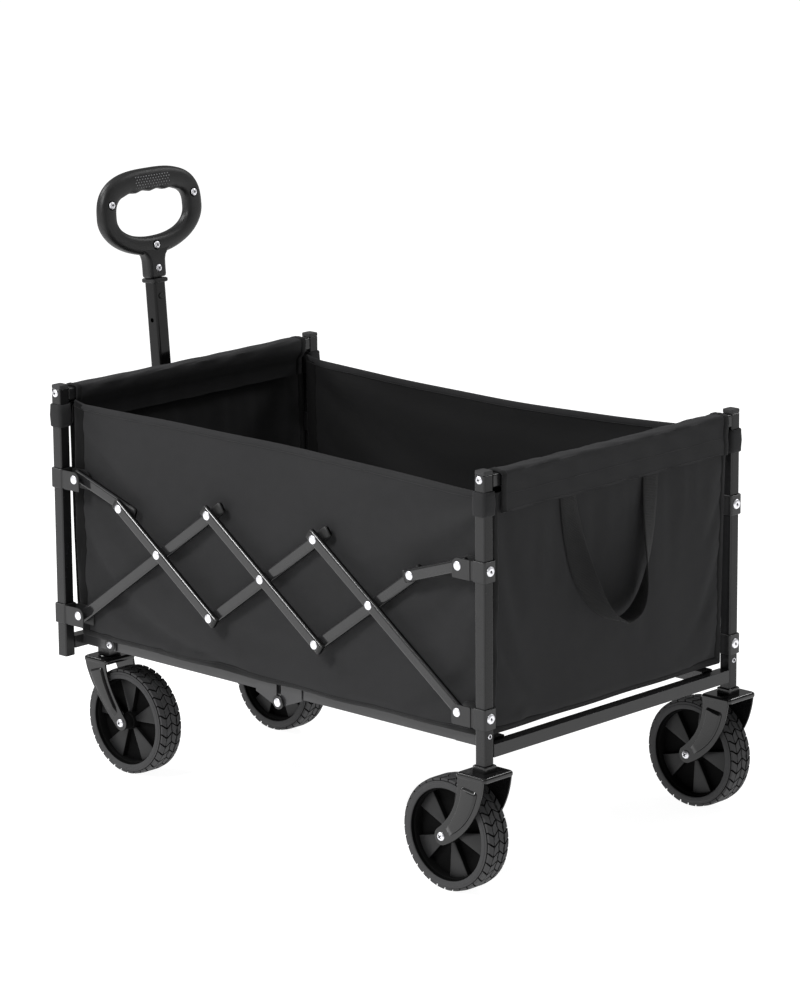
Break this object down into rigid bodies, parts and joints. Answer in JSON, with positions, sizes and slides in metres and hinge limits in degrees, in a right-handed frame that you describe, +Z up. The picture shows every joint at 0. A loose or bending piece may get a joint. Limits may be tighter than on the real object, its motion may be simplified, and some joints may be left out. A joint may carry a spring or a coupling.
{
  "type": "folding wagon",
  "caption": "Folding utility wagon: steel end frames, crossed side bars, fabric tub, fixed rear wheels, swivel front casters and a telescopic pull handle.",
  "frame": {"origin": "centre of the whole model's box, at floor level", "axes": "+Z up, +X to the rear, the pull handle at -X, +Y to the wagon's right"},
  "size_m": [0.9522, 0.586, 0.8726],
  "materials": {
    "frame_metal": "satin powder coat",
    "fork_metal": "gloss black paint",
    "bracket_plastic": "fine texture",
    "hub_plastic": "satin moulded",
    "tyre": "matte rubber with block tread",
    "fabric": "woven polyester, matte",
    "board": "fabric-covered board",
    "grip_plastic": "fine texture",
    "bright_steel": "zinc-bright"
  },
  "bodies": {
    "rear_frame": {"rear_post_left": "frame_metal", "rear_post_right": "frame_metal", "rear_cap_left": "bracket_plastic", "rear_cap_right": "bracket_plastic", "rear_upper_bracket_left": "bracket_plastic", "rear_upper_bracket_right": "bracket_plastic", "rear_lower_bracket_left": "bracket_plastic", "rear_lower_bracket_right": "bracket_plastic", "rear_top_rail": "frame_metal", "rear_bottom_rail": "frame_metal", "end_panel_rear": "fabric", "side_panel_left": "fabric", "side_panel_right": "fabric", "rear_fork_left": "fork_metal", "rear_fork_right": "fork_metal"},
    "front_frame": {"front_post_left": "frame_metal", "front_post_right": "frame_metal", "front_cap_left": "bracket_plastic", "front_cap_right": "bracket_plastic", "front_upper_bracket_left": "bracket_plastic", "front_upper_bracket_right": "bracket_plastic", "front_lower_bracket_left": "bracket_plastic", "front_lower_bracket_right": "bracket_plastic", "front_top_rail": "frame_metal", "front_bottom_rail": "frame_metal", "end_panel_front": "fabric"},
    "base_rear": {"base_frame_rear": "frame_metal", "floor_board_rear": "board"},
    "base_front": {"base_frame_front": "frame_metal", "floor_board_front": "board"},
    "bar_rise_1_left": {"bar_rise_1_left": "frame_metal"},
    "bar_fall_1_left": {"bar_fall_1_left": "frame_metal"},
    "bar_fall_2_left": {"bar_fall_2_left": "frame_metal"},
    "bar_rise_2_left": {"bar_rise_2_left": "frame_metal"},
    "bar_rise_3_left": {"bar_rise_3_left": "frame_metal"},
    "bar_fall_3_left": {"bar_fall_3_left": "frame_metal"},
    "link_front_left": {"link_front_left": "frame_metal"},
    "link_rear_left": {"link_rear_left": "frame_metal"},
    "bar_rise_1_right": {"bar_rise_1_right": "frame_metal"},
    "bar_fall_1_right": {"bar_fall_1_right": "frame_metal"},
    "bar_fall_2_right": {"bar_fall_2_right": "frame_metal"},
    "bar_rise_2_right": {"bar_rise_2_right": "frame_metal"},
    "bar_rise_3_right": {"bar_rise_3_right": "frame_metal"},
    "bar_fall_3_right": {"bar_fall_3_right": "frame_metal"},
    "link_front_right": {"link_front_right": "frame_metal"},
    "link_rear_right": {"link_rear_right": "frame_metal"},
    "rear_wheel_left": {"rear_tyre_left": "tyre", "rear_hub_left": "hub_plastic"},
    "caster_left": {"front_fork_left": "fork_metal"},
    "front_wheel_left": {"front_tyre_left": "tyre", "front_hub_left": "hub_plastic"},
    "rear_wheel_right": {"rear_tyre_right": "tyre", "rear_hub_right": "hub_plastic"},
    "caster_right": {"front_fork_right": "fork_metal"},
    "front_wheel_right": {"front_tyre_right": "tyre", "front_hub_right": "hub_plastic"},
    "handle_outer": {"handle_outer_tube": "frame_metal"},
    "handle_inner": {"handle_inner_tube": "frame_metal", "handle_grip": "grip_plastic"},
    "release_button": {"handle_release_button": "bright_steel"}
  },
  "joints": [
    {"name": "fold", "type": "hinge", "parent": "rear_frame", "child": "base_rear", "pos_m": [0.38247, 0, 0.2065], "axis": [0, 1, 0], "range_deg": [0, 83.37], "deforming": ["side_panel_left", "side_panel_right"]},
    {"name": "base_middle", "type": "hinge", "parent": "base_rear", "child": "base_front", "pos_m": [0.03307, 0, 0.1867], "axis": [0, -1, 0], "range_deg": [0, 166.79]},
    {"name": "front_frame_level", "type": "hinge", "parent": "base_front", "child": "front_frame", "pos_m": [-0.31633, 0, 0.2065], "axis": [0, 1, 0], "range_deg": [0, 83.42]},
    {"name": "rise_1_pivot_left", "type": "hinge", "parent": "front_frame", "child": "bar_rise_1_left", "pos_m": [-0.34283, -0.2529, 0.2527], "axis": [0, -1, 0], "range_deg": [0, 43.74]},
    {"name": "cross_1_pivot_left", "type": "hinge", "parent": "bar_rise_1_left", "child": "bar_fall_1_left", "pos_m": [-0.17671, -0.2623, 0.37128], "axis": [0, 1, 0], "range_deg": [0, 87.42]},
    {"name": "top_1_pivot_left", "type": "hinge", "parent": "bar_rise_1_left", "child": "bar_fall_2_left", "pos_m": [-0.0718, -0.2623, 0.44617], "axis": [0, 1, 0], "range_deg": [0, 87.42]},
    {"name": "link_front_pivot_left", "type": "hinge", "parent": "front_frame", "child": "link_front_left", "pos_m": [-0.34493, -0.2529, 0.4561], "axis": [0, -1, 0], "range_deg": [0, 94.15]},
    {"name": "fall_3_pivot_left", "type": "hinge", "parent": "rear_frame", "child": "bar_fall_3_left", "pos_m": [0.40897, -0.2623, 0.2527], "axis": [0, 1, 0], "range_deg": [0, 43.74]},
    {"name": "cross_3_pivot_left", "type": "hinge", "parent": "bar_fall_3_left", "child": "bar_rise_3_left", "pos_m": [0.24285, -0.2529, 0.37128], "axis": [0, -1, 0], "range_deg": [0, 87.42]},
    {"name": "top_2_pivot_left", "type": "hinge", "parent": "bar_fall_3_left", "child": "bar_rise_2_left", "pos_m": [0.13794, -0.2529, 0.44617], "axis": [0, -1, 0], "range_deg": [0, 87.42]},
    {"name": "link_rear_pivot_left", "type": "hinge", "parent": "rear_frame", "child": "link_rear_left", "pos_m": [0.41107, -0.2623, 0.4561], "axis": [0, 1, 0], "range_deg": [0, 94.15]},
    {"name": "rise_1_pivot_right", "type": "hinge", "parent": "front_frame", "child": "bar_rise_1_right", "pos_m": [-0.34283, 0.2529, 0.2527], "axis": [0, -1, 0], "range_deg": [0, 43.74]},
    {"name": "cross_1_pivot_right", "type": "hinge", "parent": "bar_rise_1_right", "child": "bar_fall_1_right", "pos_m": [-0.17671, 0.2623, 0.37128], "axis": [0, 1, 0], "range_deg": [0, 87.42]},
    {"name": "top_1_pivot_right", "type": "hinge", "parent": "bar_rise_1_right", "child": "bar_fall_2_right", "pos_m": [-0.0718, 0.2623, 0.44617], "axis": [0, 1, 0], "range_deg": [0, 87.42]},
    {"name": "link_front_pivot_right", "type": "hinge", "parent": "front_frame", "child": "link_front_right", "pos_m": [-0.34493, 0.2529, 0.4561], "axis": [0, -1, 0], "range_deg": [0, 94.15]},
    {"name": "fall_3_pivot_right", "type": "hinge", "parent": "rear_frame", "child": "bar_fall_3_right", "pos_m": [0.40897, 0.2623, 0.2527], "axis": [0, 1, 0], "range_deg": [0, 43.74]},
    {"name": "cross_3_pivot_right", "type": "hinge", "parent": "bar_fall_3_right", "child": "bar_rise_3_right", "pos_m": [0.24285, 0.2529, 0.37128], "axis": [0, -1, 0], "range_deg": [0, 87.42]},
    {"name": "top_2_pivot_right", "type": "hinge", "parent": "bar_fall_3_right", "child": "bar_rise_2_right", "pos_m": [0.13794, 0.2529, 0.44617], "axis": [0, -1, 0], "range_deg": [0, 87.42]},
    {"name": "link_rear_pivot_right", "type": "hinge", "parent": "rear_frame", "child": "link_rear_right", "pos_m": [0.41107, 0.2623, 0.4561], "axis": [0, 1, 0], "range_deg": [0, 94.15]},
    {"name": "rear_wheel_spin_left", "type": "hinge", "parent": "rear_frame", "child": "rear_wheel_left", "pos_m": [0.39607, -0.2576, 0.08], "axis": [0, 1, 0], "continuous": true},
    {"name": "caster_swivel_left", "type": "hinge", "parent": "front_frame", "child": "caster_left", "pos_m": [-0.37793, -0.177, 0.1704], "axis": [0, 0, 1], "continuous": true},
    {"name": "front_wheel_spin_left", "type": "hinge", "parent": "caster_left", "child": "front_wheel_left", "pos_m": [-0.32523, -0.177, 0.08], "axis": [0, 1, 0], "continuous": true},
    {"name": "rear_wheel_spin_right", "type": "hinge", "parent": "rear_frame", "child": "rear_wheel_right", "pos_m": [0.39607, 0.2576, 0.08], "axis": [0, 1, 0], "continuous": true},
    {"name": "caster_swivel_right", "type": "hinge", "parent": "front_frame", "child": "caster_right", "pos_m": [-0.37793, 0.129, 0.1704], "axis": [0, 0, 1], "continuous": true},
    {"name": "front_wheel_spin_right", "type": "hinge", "parent": "caster_right", "child": "front_wheel_right", "pos_m": [-0.32523, 0.129, 0.08], "axis": [0, 1, 0], "continuous": true},
    {"name": "handle_tilt", "type": "hinge", "parent": "front_frame", "child": "handle_outer", "pos_m": [-0.41043, 0, 0.186], "axis": [0, -1, 0], "range_deg": [-3, 85]},
    {"name": "handle_extend", "type": "slide", "parent": "handle_outer", "child": "handle_inner", "axis": [-0.0802, 0, 0.9968], "range_m": [0, 0.3]},
    {"name": "release_press", "type": "slide", "parent": "handle_outer", "child": "release_button", "axis": [-0.9968, 0, -0.0802], "range_m": [0, 0.002], "stiffness_N_per_m": 600}
  ],
  "couplings": [
    {"joint": "base_middle", "follows": "fold", "ratio": 2},
    {"joint": "front_frame_level", "follows": "fold", "ratio": 1},
    {"joint": "rise_1_pivot_left", "follows": "fold", "ratio": 0.524},
    {"joint": "cross_1_pivot_left", "follows": "fold", "ratio": 1.048},
    {"joint": "top_1_pivot_left", "follows": "fold", "ratio": 1.048},
    {"joint": "link_front_pivot_left", "follows": "fold", "ratio": 1.1286},
    {"joint": "fall_3_pivot_left", "follows": "fold", "ratio": 0.524},
    {"joint": "cross_3_pivot_left", "follows": "fold", "ratio": 1.048},
    {"joint": "top_2_pivot_left", "follows": "fold", "ratio": 1.048},
    {"joint": "link_rear_pivot_left", "follows": "fold", "ratio": 1.1286},
    {"joint": "rise_1_pivot_right", "follows": "fold", "ratio": 0.524},
    {"joint": "cross_1_pivot_right", "follows": "fold", "ratio": 1.048},
    {"joint": "top_1_pivot_right", "follows": "fold", "ratio": 1.048},
    {"joint": "link_front_pivot_right", "follows": "fold", "ratio": 1.1286},
    {"joint": "fall_3_pivot_right", "follows": "fold", "ratio": 0.524},
    {"joint": "cross_3_pivot_right", "follows": "fold", "ratio": 1.048},
    {"joint": "top_2_pivot_right", "follows": "fold", "ratio": 1.048},
    {"joint": "link_rear_pivot_right", "follows": "fold", "ratio": 1.1286}
  ]
}
